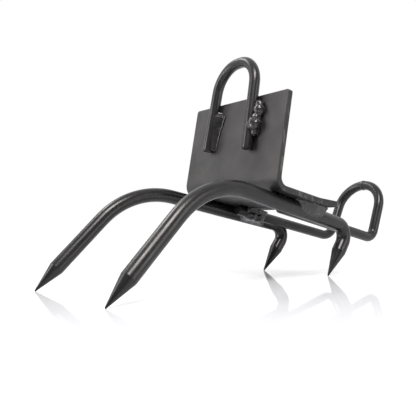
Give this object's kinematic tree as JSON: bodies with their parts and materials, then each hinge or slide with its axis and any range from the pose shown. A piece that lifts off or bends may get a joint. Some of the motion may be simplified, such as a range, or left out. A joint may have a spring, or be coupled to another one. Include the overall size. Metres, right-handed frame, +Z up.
{
  "type": "claw anchor",
  "caption": "Welded hook anchor: bent claw rods with pointed ends under an L-shaped foot plate, a loop on the upright and a second loop behind the sole.",
  "frame": {"origin": "on the floor under the four claw tips, at the centre of the whole object seen from above", "axes": "+X rearwards, from the long claw points to the rear loop; +Y across to the far claw; +Z up, with the hook standing on its four points"},
  "size_m": [0.3438, 0.1382, 0.1972],
  "materials": {
    "rod_paint": "semi-gloss black paint on round bar",
    "plate_paint": "semi-gloss black paint on rolled plate",
    "weld_paint": "glossy black paint over rippled weld metal"
  },
  "bodies": {
    "root": {"bent_plate": "plate_paint", "near_claw": "rod_paint", "far_claw": "rod_paint", "upright_loop": "rod_paint", "rear_loop_near_half": "rod_paint", "rear_loop_far_half": "rod_paint", "near_claw_outer_weld": "weld_paint", "near_claw_inner_weld": "weld_paint", "far_claw_outer_weld": "weld_paint", "near_leg_outer_weld": "weld_paint", "near_leg_inner_weld": "weld_paint", "far_leg_inner_weld": "weld_paint", "far_bridge_weld": "weld_paint", "upright_loop_near_weld": "weld_paint", "upright_loop_far_weld": "weld_paint", "rear_loop_butt_weld": "weld_paint"}
  },
  "joints": []
}
